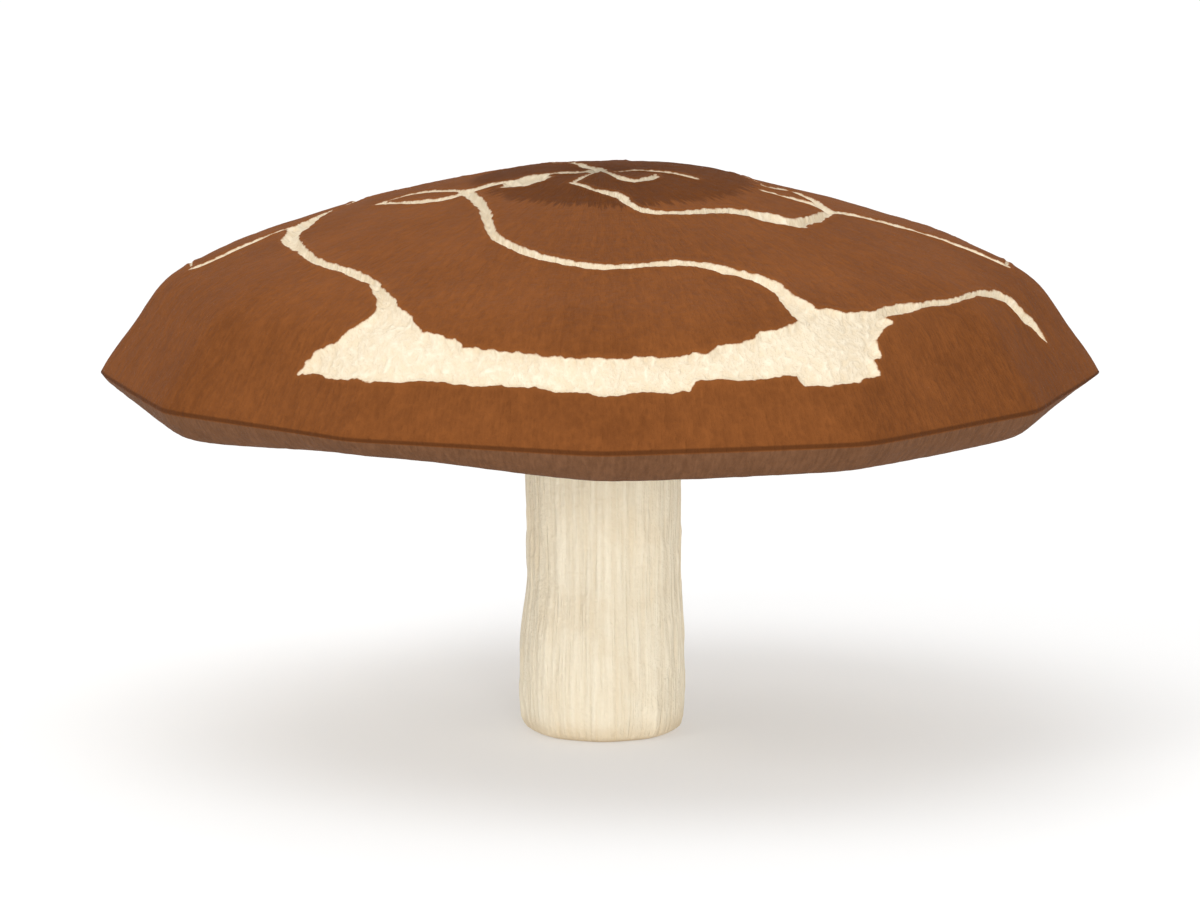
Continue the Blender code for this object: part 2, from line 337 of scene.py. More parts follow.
# Colours
CAP_LIGHT = linear(140, 83, 41)
CAP_DARK = linear(111, 63, 28)
CROWN_LIGHT = linear(115, 65, 27)
CROWN_DARK = linear(87, 46, 15)
# Painted shade: the thin dark line along the margin, where the skin turns under to the rim
MARGIN_PAINTED_SHADE = linear(84, 47, 21)
RIM_LIGHT = linear(124, 86, 60)
RIM_DARK = linear(96, 64, 42)
LIP_PALE = linear(210, 180, 142)
SPLIT_LIGHT = linear(242, 229, 205)
SPLIT_SHADE = linear(230, 212, 182)
FRINGE_TAN = linear(186, 136, 88)
GILL_LIGHT = linear(250, 238, 212)
GILL_SHADE = linear(236, 214, 176)
GILL_AGED = linear(205, 168, 122)
STEM_LIGHT = linear(253, 243, 220)
STEM_SHADE = linear(240, 226, 198)
STEM_STAIN = linear(226, 205, 170)
STEM_CUT = linear(206, 177, 134)

# Where a colour starts and ends, in metres
CROWN_MIDDLE = (0.0013, -0.0008, 0.0)
CROWN_RADIUS = 0.0135
CROWN_FADE = 0.0009
# Painted shade: the radii over which the cap's skin is darkened towards the margin
OUTER_PAINTED_SHADE = (0.03, 0.043)
AGED_RADIUS = (0.034, 0.041)
FOOT_STAIN = (0.0002, 0.0026)
CUT_HEIGHT = (0.00005, 0.0003)
CUT_RING = (0.0045, 0.0066)

# The same in mm below the margin or outside a split's edge, and as a share of a gill's depth
# Painted shade: the thin dark line along the margin
PAINTED_CREASE_LINE = (0.12, 0.32)
RIM_PLACE = (0.2, 0.4)
LIP_PLACE = (4.6, 6.4)
BESIDE_SPLIT = (0.1, 0.7)
FRINGE_PLACE = (-0.1, 0.04)
SPLIT_EDGE = (-0.02, 0.08)
AGED_DEPTH = (0.75, 1.0)

# Floor and surround
FLOOR_COLOUR = (0.68, 0.68, 0.68, 1.0)
FLOOR_GLOW = 0.29
WHITE = (1.0, 1.0, 1.0, 1.0)


def part_way(value, start, end):
    """How far a value has gone from start to end, as 0 to 1."""
    return np.clip((value - start) / (end - start), 0.0, 1.0)


def eased(value, start, end):
    """The same with a soft start and end."""
    t = part_way(value, start, end)
    return t * t * (3 - 2 * t)


def smooth_line(points, step):
    """A smooth line through the points, with one about every step. Columns past the second ride along."""
    points = np.array(points, float)
    lengths = np.hypot(*np.diff(points[:, :2], axis=0).T)[:, None]
    chords = np.diff(points, axis=0) / lengths
    inner = (chords[:-1] * lengths[1:] + chords[1:] * lengths[:-1]) / (lengths[:-1] + lengths[1:])
    slopes = np.vstack([chords[:1], inner, chords[-1:]])
    line = [points[:1]]
    for i, length in enumerate(lengths[:, 0]):
        pieces = max(1, round(length / step))
        t = (np.arange(1, pieces + 1) / pieces)[:, None]
        start = points[i] * (2 * t**3 - 3 * t**2 + 1) + slopes[i] * length * (t**3 - 2 * t**2 + t)
        end = points[i + 1] * (3 * t**2 - 2 * t**3) + slopes[i + 1] * length * (t**3 - t**2)
        line.append(start + end)
    return np.vstack(line)


def round_value(values, angle):
    """A value given every 30 degrees from the front, eased between those angles."""
    values = np.array(values)
    place = np.asarray(angle) / TURN * len(values)
    first = np.floor(place).astype(int)
    t = place - first
    before, start, end, after = (values[(first + k) % len(values)] for k in (-1, 0, 1, 2))
    bend = 2 * before - 5 * start + 4 * end - after
    twist = 3 * start - before - 3 * end + after
    return start + 0.5 * ((end - before) * t + bend * t**2 + twist * t**3)


def cornered(angle):
    """The reach of a twelve-sided ring with rounded corners, as a share of its reach at a corner."""
    half_side = TURN / SIDES / 2
    from_middle = np.abs(angle % (2 * half_side) - half_side)
    sides = np.cos(from_middle) ** CORNER_SHARPNESS + np.cos(2 * half_side - from_middle) ** CORNER_SHARPNESS
    return (2 * math.cos(half_side) ** CORNER_SHARPNESS / sides) ** (1 / CORNER_SHARPNESS)


def grown(radius, height, angle):
    """The radius and height that a point of the even section has on the uneven, cornered cap."""
    reach = radius / CAP_RADIUS
    out = radius + (round_value(MARGIN_REACH, angle) - CAP_RADIUS) * reach**3
    out = out * (1 - (1 - cornered(angle)) * part_way(reach, CORNERS_START, 1.0))
    low = part_way(MARGIN_HEIGHT - height, 0.0, RIM_HEIGHT) * part_way(radius, RIM_INNER, RIM_OUTER)
    swollen = SWELLING * np.exp(-(((radius - SWELLING_RADIUS) / SWELLING_WIDTH) ** 2))
    on_top = part_way(height, SOCKET[1][1], SOCKET[1][1] + RIM_HEIGHT)
    up = height + low * round_value(RIM_LIFT, angle) + on_top * swollen * np.maximum(0.0, np.sin(angle))
    return out, up


def unit(vectors, least=0.0):
    """The vectors at length 1, but for those that are shorter than the least length."""
    return vectors / np.maximum(np.linalg.norm(vectors, axis=-1, keepdims=True), least)


def turned(radius, height, angle):
    """The points at a radius and a height that lie at an angle round the axis."""
    flat = radius * np.sin(angle), -radius * np.cos(angle)
    return np.stack(np.broadcast_arrays(*flat, height), axis=-1)


def angle_of(points):
    """The angle of each point round the axis."""
    return np.arctan2(points[:, 0], -points[:, 1])


def unrolled(angle, radius, along):
    """Places on a drum of one radius, for noise that keeps its size round the drum and stretches along it."""
    return np.stack(np.broadcast_arrays(np.sin(angle) * radius, np.cos(angle) * radius, along), axis=-1)


def column_angles(columns):
    """The angles of a round grid's columns."""
    return np.arange(columns) / columns * TURN


def round_grid(line, columns, move):
    """The points, row by row, that a section passes through as it turns and is moved by a rule."""
    angle = column_angles(columns)[None, :]
    return turned(*move(line[:, :1], line[:, 1:2], angle), angle)


def outward(grid):
    """The outward direction at each point of a round grid."""
    along = np.gradient(grid, axis=0)
    around = np.roll(grid, -1, axis=1) - np.roll(grid, 1, axis=1)
    return unit(np.cross(along, around), 1e-12)


def neighbours(columns):
    """Each column of a round grid with the next one round."""
    return [(column, (column + 1) % columns) for column in range(columns)]


def grid_faces(rows, columns, first=0, closed=False):
    """The faces between the rows of a round grid, and from its last row to its first if it is closed."""
    faces = []
    for row in range(rows if closed else rows - 1):
        here, below = first + row * columns, first + (row + 1) % rows * columns
        faces += [(here + a, below + a, below + b, here + b) for a, b in neighbours(columns)]
    return faces


def round_faces(rows, columns):
    """The faces of a round grid whose first and last rows are each drawn together in one point."""
    last = 1 + (rows - 2) * columns
    end = last - columns
    top_faces = [(0, 1 + a, 1 + b) for a, b in neighbours(columns)]
    end_faces = [(last, end + b, end + a) for a, b in neighbours(columns)]
    return top_faces + grid_faces(rows - 2, columns, 1) + end_faces


def ring_faces(ring, first, rows, columns):
    """The faces from a ring of points through the rows of a grid to its last row, which is one point."""
    last = first + (rows - 1) * columns
    end = last - columns
    joining = [(ring[a], first + a, first + b, ring[b]) for a, b in neighbours(columns)]
    end_faces = [(end + a, last, end + b) for a, b in neighbours(columns)]
    return joining + grid_faces(rows - 1, columns, first) + end_faces


def joined_rows(grid):
    """A grid's points, with each end row as the one point that it is drawn together in."""
    return np.vstack([grid[0].mean(axis=0)[None], grid[1:-1].reshape(-1, 3), grid[-1].mean(axis=0)[None]])


def new_object(name, data):
    """A new object in the scene with its mesh, lamp or camera."""
    ob = bpy.data.objects.new(name, data)
    bpy.context.scene.collection.objects.link(ob)
    return ob


def make_piece(name, points, faces, values=None):
    """A smooth piece of the mushroom from points in mm, with named values on its points."""
    mesh = bpy.data.meshes.new(name)
    mesh.from_pydata((points * MM).tolist(), [], faces)
    for key, numbers in (values or {}).items():
        mesh.attributes.new(key, "FLOAT", "POINT").data.foreach_set("value", np.ravel(numbers))
    mesh.shade_smooth()
    piece = new_object(name, mesh)
    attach(piece, "root")
    return piece


def noise_at(points, size, octaves=3):
    """Soft noise from about -1 to 1 at each point, with features of a size in mm."""
    flat = (points.reshape(-1, 3) / size).tolist()
    found = [noise.fractal(place, NOISE_SMOOTHNESS, NOISE_FINER, octaves) for place in flat]
    return np.array(found).reshape(points.shape[:-1])


# The camera

def sight_line(x, y):
    """Where the camera's view of a pixel of the photograph starts, and its direction."""
    sine, cosine = math.sin(CAMERA_ELEVATION), math.cos(CAMERA_ELEVATION)
    forward = Vector((0, cosine, -sine))
    focal = CAMERA_DISTANCE * PIXELS_PER_MM
    across = Vector((1, 0, 0)) * (x - PHOTO_WIDTH / 2) / focal
    upward = Vector((0, sine, cosine)) * (PHOTO_HEIGHT / 2 - y) / focal
    start = Vector((0, 0, CAMERA_TARGET_HEIGHT)) - forward * CAMERA_DISTANCE
    return start, (forward + across + upward).normalized()


# The cap's splits

def cap_surface():
    """The cap's skin without relief, as a tree that a line can be cast on."""
    line = smooth_line(SKIN, SURFACE_STEP)
    points = round_grid(line, SURFACE_COLUMNS, grown).reshape(-1, 3)
    return BVHTree.FromPolygons(points.tolist(), grid_faces(len(line), SURFACE_COLUMNS))


def seen_on_cap(surface, x, y):
    """The point of the cap that a pixel shows. One just past the cap's outline is drawn in to it."""
    pixel = Vector((x, y))
    inward = (Vector(CAP_MIDDLE_PIXEL) - pixel).normalized()
    for _ in range(OUTLINE_REACH):
        hit = surface.ray_cast(*sight_line(*pixel))[0]
        if hit is not None:
            return np.array(hit)
        pixel += inward
    raise ValueError(f"no part of the cap lies near pixel {x}, {y}")


def front_split(surface, route):
    """A split's middle line on the cap with its half widths, from its route in the photograph."""
    line = smooth_line(route, ROUTE_STEP)
    along = unit(np.gradient(line[:, :2], axis=0))
    points = np.array([seen_on_cap(surface, x, y) for x, y, _ in line])
    course = unit(np.gradient(points, axis=0), 1e-6)
    half_widths = []
    for (x, y, width), (dx, dy), run in zip(line, along, course):
        left = seen_on_cap(surface, x - dy * width / 2, y + dx * width / 2)
        right = seen_on_cap(surface, x + dy * width / 2, y - dx * width / 2)
        across = (left - right) / 2
        across -= run * (across @ run)
        plain = width / PIXELS_PER_MM / 2
        half_widths.append(np.clip(np.linalg.norm(across), plain, plain * FORESHORTENED_MOST))
    return points, np.maximum(half_widths, LEAST_HALF_WIDTH)


def back_split(surface, route):
    """A split's middle line on the cap with its half widths, from angles, radii and widths."""
    places = [(r * math.sin(math.radians(a)), -r * math.cos(math.radians(a)), w) for a, r, w in route]
    line = smooth_line(places, BACK_STEP)
    down = Vector((0, 0, -1))
    points = [np.array(surface.ray_cast(Vector((x, y, ABOVE_CAP)), down)[0]) for x, y, _ in line]
    return np.array(points), line[:, 2] / 2


def distance_to_splits(points, splits):
    """How far each point lies outside the nearest split's edge, below 0 inside it, and its half width."""
    nearest = np.full(len(points), FAR_AWAY)
    nearest_half = np.zeros(len(points))
    for line, half_widths in splits:
        low, high = line.min(axis=0) - SPLIT_REACH, line.max(axis=0) + SPLIT_REACH
        near = np.all((points > low) & (points < high), axis=1)
        some = points[near]
        best = nearest[near]
        best_half = nearest_half[near]
        for a, b, half_a, half_b in zip(line, line[1:], half_widths, half_widths[1:]):
            run = b - a
            t = np.clip((some - a) @ run / (run @ run), 0, 1)
            half = half_a + (half_b - half_a) * t
            outside = np.linalg.norm(some - a - t[:, None] * run, axis=1) - half
            closer = outside < best
            best = np.where(closer, outside, best)
            best_half = np.where(closer, half, best_half)
        nearest[near] = best
        nearest_half[near] = best_half
    return nearest, nearest_half


def distance_to_outline(places, corners):
    """How far each flat place lies outside a closed outline, below 0 inside it."""
    nearest = np.full(len(places), FAR_AWAY)
    inside = np.zeros(len(places), bool)
    for a, b in zip(corners, np.roll(corners, -1, axis=0)):
        run = b - a
        t = np.clip((places - a) @ run / (run @ run), 0, 1)
        nearest = np.minimum(nearest, np.linalg.norm(places - a - t[:, None] * run, axis=1))
        if a[1] != b[1]:
            level = (places[:, 1] >= min(a[1], b[1])) & (places[:, 1] < max(a[1], b[1]))
            crossing = a[0] + (places[:, 1] - a[1]) / (b[1] - a[1]) * run[0]
            inside ^= level & (places[:, 0] < crossing)
    return np.where(inside, -nearest, nearest)


class Skin:
    """The cap's smooth skin, from the crown to the lip, by distance along its section and angle."""

    def __init__(self):
        upper = smooth_line(SKIN[: MARGIN_POINT + 1], SECTION_STEP)
        lower = smooth_line(SKIN[MARGIN_POINT:], SECTION_STEP)[1:]
        self.line = np.vstack([upper, lower])
        self.run = np.concatenate([[0], np.cumsum(np.hypot(*np.diff(self.line, axis=0).T))])
        self.margin = self.run[len(upper) - 1]
        self.lip = self.run[-1]

    def section(self, at):
        """The even section's radius and height at distances along it."""
        return np.interp(at, self.run, self.line[:, 0]), np.interp(at, self.run, self.line[:, 1])

    def points(self, at, angle):
        """The skin's points at distances along its section and angles."""
        return turned(*grown(*self.section(at), angle), angle)

    def facing(self, at, angle):
        """The outward direction at the same places."""
        step, turn = FACING_STEP, FACING_TURN
        at = np.clip(at, FACING_START, self.lip - 2 * step)
        along = self.points(at + step, angle) - self.points(at - step, angle)
        around = self.points(at, angle + turn) - self.points(at, angle - turn)
        return unit(np.cross(along, around))

    def distance_along(self, points):
        """The distances along the section at which points of the upper skin lie."""
        angles = angle_of(points)
        rows = np.arange(0.0, self.margin, ROW_STEP)
        reaches = np.linalg.norm(self.points(rows[None, :], angles[:, None])[..., :2], axis=2)
        wanted = np.linalg.norm(points[:, :2], axis=1)
        return np.array([np.interp(w, reach, rows) for w, reach in zip(wanted, reaches)])


class Splits:
    """The splits of the skin, from the photograph at the front and made up at the back."""

    def __init__(self, skin):
        surface = cap_surface()
        self.lines = [front_split(surface, route) for route in FRONT_SPLITS]
        self.lines += [back_split(surface, route) for route in BACK_SPLITS]
        corners = np.array([seen_on_cap(surface, x, y) for x, y in FRONT_BAND])
        self.band = np.stack([angle_of(corners) * UNROLLED_RADIUS, skin.distance_along(corners)], axis=1)

    def distances(self, points, at, angle):
        """How far each point lies outside the edge of a split, below 0 inside it, with ragged edges."""
        found, half = distance_to_splits(points, self.lines)
        from_front = (angle + math.pi) % TURN - math.pi
        band = distance_to_outline(np.stack([from_front * UNROLLED_RADIUS, at], axis=1), self.band)
        half = np.where(band < found, BAND_RAGGED_HALF, half)
        found = np.minimum(band, found)
        near = found < RAGGED_REACH
        some = points[near]
        rough = noise_at(some, RAGGED_SIZE) + NOTCH_SHARE * noise_at(some, NOTCH_SIZE, 2)
        found[near] += rough * np.minimum(RAGGED_MOST, RAGGED_SHARE * half[near])
        return found


def even_places(skin, spacing):
    """Places about evenly spaced over the upper skin, as distances along the section and angles."""
    rings = []
    for number, at in enumerate(np.arange(spacing, skin.margin - spacing / 2, spacing)):
        count = max(RING_LEAST_POINTS, round(TURN * skin.section(at)[0] / spacing))
        angle = (np.arange(count) + number % 2 / 2) / count * TURN
        rings.append(np.stack([np.full(count, at), angle], axis=1))
    return np.vstack(rings)


def skin_places(skin, splits):
    """The places of the upper skin's points: close at the splits' edges and wider apart elsewhere."""
    kept = [[[0.0, 0.0]]]
    levels = [
        (SKIN_SPACING, NEAR_REACH, math.inf),
        (NEAR_SPACING, -math.inf, NEAR_REACH),
        (EDGE_SPACING, -EDGE_REACH, EDGE_REACH),
    ]
    for spacing, low, high in levels:
        places = even_places(skin, spacing)
        away = splits.distances(skin.points(*places.T), *places.T)
        wanted = (away >= low) & (away < high)
        if spacing == NEAR_SPACING:
            wanted &= np.abs(away) >= EDGE_REACH
        kept.append(places[wanted])
    for line, half_widths in splits.lines:
        middle = line[half_widths < EDGE_REACH]
        if len(middle) > 1:
            middle = finer_middle(middle)
            kept.append(np.stack([skin.distance_along(middle), angle_of(middle)], axis=1))
    kept.append(np.stack([np.full(CAP_COLUMNS, skin.margin), column_angles(CAP_COLUMNS)], axis=1))
    return np.vstack(kept)


def finer_middle(line):
    """The points of a thin split's middle line, set closer together."""
    place = np.arange(len(line))
    finer = np.linspace(0, len(line) - 1, 1 + THIN_SPLIT_PARTS * (len(line) - 1))
    return np.stack([np.interp(finer, place, line[:, axis]) for axis in range(3)], axis=1)


def upper_skin(skin, splits):
    """The upper skin's places and faces, with the points of its outer ring in order."""
    places = skin_places(skin, splits)
    flat = [Vector((at * math.sin(angle), -at * math.cos(angle))) for at, angle in places]
    corners, _, faces = delaunay_2d_cdt(flat, [], [], 0, SAME_PLACE, False)[:3]
    corners = np.array([corner[:] for corner in corners])
    at = np.minimum(np.hypot(*corners.T), skin.margin)
    angle = angle_of(corners) % TURN
    ring = np.nonzero(at > skin.margin - 5 * SAME_PLACE)[0]
    column = np.round(angle[ring] / TURN * CAP_COLUMNS).astype(int) % CAP_COLUMNS
    return at, angle, faces, ring[np.argsort(column)].tolist()


def cap_relief(points, at, angle, away):
    """How far the skin and the flesh in its splits stand out of the smooth form."""
    opened = eased(-away, -SPLIT_BRINK, SPLIT_SLOPE)
    along = unrolled(angle, UNROLLED_RADIUS, at * SKIN_FIBRE_STRETCH)
    uneven = SKIN_UNEVENNESS * noise_at(points, SKIN_UNEVEN_SIZE)
    fibrils = SKIN_FIBRE * noise_at(along, SKIN_FIBRE_SIZE, 2)
    curl = CURL_HEIGHT * np.exp(-(((away - CURL_PLACE) / CURL_WIDTH) ** 2))
    relief = (uneven + fibrils + curl) * (1 - opened)
    inside = away < FLESH_REACH
    some = points[inside]
    lumps = FLESH_UNEVENNESS * noise_at(some, FLESH_UNEVEN_SIZE, 2)
    tufts = FLESH_TUFTS * noise_at(some, FLESH_TUFT_SIZE, 2)
    relief[inside] += (lumps + tufts) * opened[inside]
    return relief - SPLIT_DEPTH * opened


def make_cap():
    """The cap: its skin with splits, the rolled rim, and the flesh over the gills."""
    skin = Skin()
    splits = Splits(skin)
    at, angle, faces, ring = upper_skin(skin, splits)
    points = skin.points(at, angle)
    away = splits.distances(points, at, angle)
    edge = part_way(skin.margin - at, 0.0, RIM_RELIEF_START)
    points += skin.facing(at, angle) * (cap_relief(points, at, angle, away) * edge)[:, None]
    rows = np.arange(skin.margin, skin.lip, RIM_STEP)[1:]
    down, around = rows[:, None], column_angles(CAP_COLUMNS)[None, :]
    rim = skin.points(down, around)
    along = unrolled(around, UNROLLED_RADIUS, down * RIM_FIBRE_STRETCH)
    started = part_way(down - skin.margin, 0.0, RIM_RELIEF_START)
    rough = SKIN_FIBRE * noise_at(along, RIM_FIBRE_SIZE, 2) * started
    rim += skin.facing(down, around) * rough[..., None]
    hidden = round_grid(np.vstack([smooth_line(CEILING, CEILING_STEP), SOCKET]), CAP_COLUMNS, grown)
    grid = np.vstack([rim, hidden])
    first = len(points)
    faces = [tuple(face) for face in faces] + ring_faces(ring, first, len(grid), CAP_COLUMNS)
    everything = np.vstack([points, grid[:-1].reshape(-1, 3), grid[-1].mean(axis=0)[None]])
    extra = len(everything) - first
    below = np.full(extra, skin.lip - skin.margin + PALE_WITHIN)
    below[: len(rows) * CAP_COLUMNS] = np.repeat(rows - skin.margin, CAP_COLUMNS)
    values = {
        "split": np.concatenate([away, np.full(extra, FAR_AWAY)]),
        "below_margin": np.concatenate([at - skin.margin, below]),
    }
    cap = make_piece("cap_flesh_and_skin", everything, faces, values)
    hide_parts("cap")
    return cap


# The gills

def height_on(line, radius):
    """The height of a line of (radius, height) points at a radius."""
    order = np.argsort(line[:, 0])
    return np.interp(radius, line[order, 0], line[order, 1])


def noise_along(radius, size, row, layer=0.0):
    """Noise from -1 to 1 along a gill, with features of a size in mm and a row of its own."""
    return np.array([noise.noise(Vector((r / size, row, layer))) for r in radius])


def make_blade(inner, angle, depth_share, seed):
    """One gill's points and faces: a thin waved plate, thick at its root and fine at its edge."""
    count = max(GILL_LEAST_POINTS, round((GILL_OUTER - inner) / GILL_STEP))
    radius = inner + (GILL_OUTER - inner) * (np.arange(count) / (count - 1)) ** GILL_CROWDING
    root = height_on(ROOT_LINE, radius)
    free = height_on(EDGE_LINE, radius)
    rise = 1 - (1 - part_way(radius, inner, inner + GILL_RISE)) ** 2
    ragged = noise_along(radius, GILL_RAGGED_SIZE, seed * GILL_RAGGED_ROW) * GILL_RAGGED
    edge = root + (free - root) * rise * depth_share + ragged * rise
    wave = noise_along(radius, GILL_WAVE_SIZE, seed * GILL_WAVE_ROW, GILL_WAVE_LAYER) * GILL_WAVE
    points = []
    for side, depth in BLADE_SECTION:
        height = root + GILL_ROOT_DEPTH * (depth == 0) + (edge - root) * depth
        half = (BLADE_ROOT_HALF + (BLADE_EDGE_HALF - BLADE_ROOT_HALF) * depth) * side
        across = half + wave * (GILL_ROOT_WAVE + (1 - GILL_ROOT_WAVE) * depth)
        out, up = grown(radius, height, angle)
        points.append(turned(out, up, angle + across / np.maximum(out, 1.0)))
    ring = len(BLADE_SECTION)
    faces = grid_faces(count, ring)
    faces.append(tuple(range(ring)))
    faces.append(tuple((count - 1) * ring + corner for corner in range(ring))[::-1])
    depths = np.tile([depth for _, depth in BLADE_SECTION], count)
    return np.stack(points, axis=1).reshape(-1, 3), faces, depths


def make_gills():
    """The gills: radial plates of different lengths on their backing, which follows the cap's ceiling."""
    ceiling = smooth_line(CEILING, GILL_BACKING_STEP)
    along = unit(np.gradient(ceiling, axis=0))
    upper = ceiling + np.stack([-along[:, 1], along[:, 0]], axis=1) * GAP
    section = np.vstack([BACKING, upper[:0:-1]])
    first = len(section) * BACKING_COLUMNS
    points = [round_grid(section, BACKING_COLUMNS, grown).reshape(-1, 3)]
    depths = [np.zeros(first)]
    faces = grid_faces(len(section), BACKING_COLUMNS, closed=True)
    chance = np.random.default_rng(GILL_SEED)
    for family in range(GILL_FAMILIES):
        for place, inner, share in GILL_TIERS:
            shift = chance.uniform(-GILL_ANGLE_SPREAD, GILL_ANGLE_SPREAD)
            angle = (family + place + shift) / GILL_FAMILIES * TURN
            start = inner + chance.uniform(0.0, GILL_INNER_SPREAD)
            blade, blade_faces, blade_depths = make_blade(start, angle, share, family + place)
            points.append(blade)
            depths.append(blade_depths)
            faces += [tuple(corner + first for corner in face) for face in blade_faces]
            first += len(blade)
    gills = make_piece("gill_plates", np.vstack(points), faces, {"depth": np.concatenate(depths)})
    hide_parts("gills")
    return gills


# The stem

def make_stem():
    """The stem: a stalk with lengthwise fibres, torn flakes and a flat cut end."""
    foot_radius, foot_height = STEM_SECTION[0]
    top_radius, top_height = STEM_SECTION[-1]
    foot = [(radius, 0.0) for radius in np.linspace(0.0, foot_radius - STEM_FOOT_EDGE, STEM_FOOT_ROWS)]
    rounding = STEM_FOOT_EDGE * STEM_FOOT_ROUNDING
    bevel = [foot[-1], (foot_radius - rounding, rounding), (foot_radius, foot_height)]
    bevel = smooth_line(bevel, STEM_STEP)[1:-1]
    side = smooth_line(STEM_SECTION, STEM_STEP)
    top_height += STEM_TOP_EDGE
    top = [(top_radius - STEM_TOP_EDGE, top_height), (0.0, top_height)]
    line = np.vstack([foot, bevel, side, top])[::-1]
    grid = round_grid(line, STEM_COLUMNS, stem_shape)
    height = line[:, 1:2]
    around = column_angles(STEM_COLUMNS)[None, :]
    fibre = noise_at(unrolled(around, STEM_RADIUS, height * STEM_FIBRE_STRETCH), STEM_FIBRE_SIZE)
    flakes = noise_at(unrolled(around, STEM_RADIUS, height * STEM_FLAKE_STRETCH), STEM_FLAKE_SIZE)
    relief = fibre * STEM_FIBRE + eased(flakes, *STEM_FLAKE_NOISE) * STEM_FLAKE - STEM_FLAKE * 0.5
    free = part_way(height, *STEM_RELIEF_START) * (1 - part_way(height, *STEM_RELIEF_END))
    grid += outward(grid) * (relief * free)[..., None]
    grid[..., 0] += np.interp(grid[..., 2], *np.array(STEM_CENTRE).T)
    stem = make_piece("stem_stalk", joined_rows(grid), round_faces(len(line), STEM_COLUMNS))
    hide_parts("stem")
    return stem


def stem_shape(radius, height, angle):
    """The stem's radius with its eight soft ridges."""
    return radius * (1 - RIDGE_DEPTH * (1 - np.cos(RIDGES * angle))), height


# Materials

def new_group(name, inputs, outputs):
    """An empty shader node group with named sockets, and its own input and output nodes."""
    group = bpy.data.node_groups.new(name, "ShaderNodeTree")
    for label, (kind, default) in inputs.items():
        socket = group.interface.new_socket(label, in_out="INPUT", socket_type=kind)
        if default is not None:
            socket.default_value = default
    for label, kind in outputs.items():
        group.interface.new_socket(label, in_out="OUTPUT", socket_type=kind)
    return group, group.nodes.new("NodeGroupInput"), group.nodes.new("NodeGroupOutput")


def set_inputs(tree, node, inputs):
    """Sets a node's inputs to values or links them from other nodes' outputs."""
    for key, value in inputs.items():
        if isinstance(value, bpy.types.NodeSocket):
            tree.links.new(value, node.inputs[key])
        else:
            node.inputs[key].default_value = value


def put(tree, kind, inputs=None, **settings):
    """A new node with its settings and inputs."""
    node = tree.nodes.new(kind)
    for key, value in settings.items():
        setattr(node, key, value)
    set_inputs(tree, node, inputs or {})
    return node


def use(tree, group, inputs=None):
    """A placed node group with its inputs set or linked."""
    return put(tree, "ShaderNodeGroup", inputs, node_tree=group)


def maths(tree, operation, a, b=0.0, clamp=False):
    """The output of a Math node."""
    return put(tree, "ShaderNodeMath", {0: a, 1: b}, operation=operation, use_clamp=clamp).outputs[0]


def fade(tree, value, start, end, low=0.0, high=1.0):
    """A value turned into a soft mask: low at start, high at end."""
    sockets = {"Value": value, "From Min": start, "From Max": end, "To Min": low, "To Max": high}
    return put(tree, "ShaderNodeMapRange", sockets, interpolation_type="SMOOTHSTEP").outputs["Result"]


def blend_colours(tree, share, first, second):
    """The result of a Mix node between its two colour sockets, which are numbers 6 and 7."""
    sockets = {0: share, 6: first, 7: second}
    return put(tree, "ShaderNodeMix", sockets, data_type="RGBA", clamp_factor=True).outputs[2]


def vector_maths(tree, operation, a, b=None, result=0):
    """An output of a Vector Math node."""
    sockets = {0: a} if b is None else {0: a, 1: b}
    return put(tree, "ShaderNodeVectorMath", sockets, operation=operation).outputs[result]


def noise_texture(tree, place, scale, detail, roughness=0.5):
    """A noise texture's node."""
    sockets = {"Vector": place, "Scale": scale, "Detail": detail, "Roughness": roughness}
    return put(tree, "ShaderNodeTexNoise", sockets)


def make_round_place_group():
    """Where a point lies round the stem's axis: its direction from it, its distance and its height."""
    outputs = {"Around": "NodeSocketVector", "Radius": "NodeSocketFloat", "Height": "NodeSocketFloat"}
    group, _, exits = new_group("Round place", {}, outputs)
    here = put(group, "ShaderNodeTexCoord").outputs["Object"]
    flat = vector_maths(group, "MULTIPLY", here, (1.0, 1.0, 0.0))
    radius = vector_maths(group, "LENGTH", flat, result="Value")
    around = vector_maths(group, "NORMALIZE", flat)
    height = put(group, "ShaderNodeSeparateXYZ", {0: here}).outputs["Z"]
    set_inputs(group, exits, {"Around": around, "Radius": radius, "Height": height})
    return group


def make_fibre_group():
    """Fine streaks that spread round the axis and run along a length in metres."""
    inputs = {
        "Around": ("NodeSocketVector", None),
        "Length": ("NodeSocketFloat", 0.0),
        "Across": ("NodeSocketFloat", 60.0),
        "Along": ("NodeSocketFloat", 100.0),
        "Sharpness": ("NodeSocketFloat", 0.25),
        "Wander": ("NodeSocketFloat", 1.6),
    }
    group, entry, exits = new_group("Fibres", inputs, {"Streaks": "NodeSocketFloat"})
    sideways = vector_maths(group, "MULTIPLY", entry.outputs["Around"], entry.outputs["Across"])
    lengthways = maths(group, "MULTIPLY", entry.outputs["Length"], entry.outputs["Along"])
    lengthways = put(group, "ShaderNodeCombineXYZ", {"Z": lengthways}).outputs[0]
    place = vector_maths(group, "ADD", sideways, lengthways)
    slow = noise_texture(group, place, 0.22, 1.0).outputs["Color"]
    bend = vector_maths(group, "SUBTRACT", slow, (0.5, 0.5, 0.5))
    sockets = {0: bend, 1: entry.outputs["Wander"], 2: place}
    bent = put(group, "ShaderNodeVectorMath", sockets, operation="MULTIPLY_ADD").outputs[0]
    texture = noise_texture(group, bent, 1.0, 5.0, 0.6)
    low = maths(group, "SUBTRACT", 0.5, entry.outputs["Sharpness"])
    high = maths(group, "ADD", 0.5, entry.outputs["Sharpness"])
    set_inputs(group, exits, {"Streaks": fade(group, texture.outputs["Fac"], low, high)})
    return group


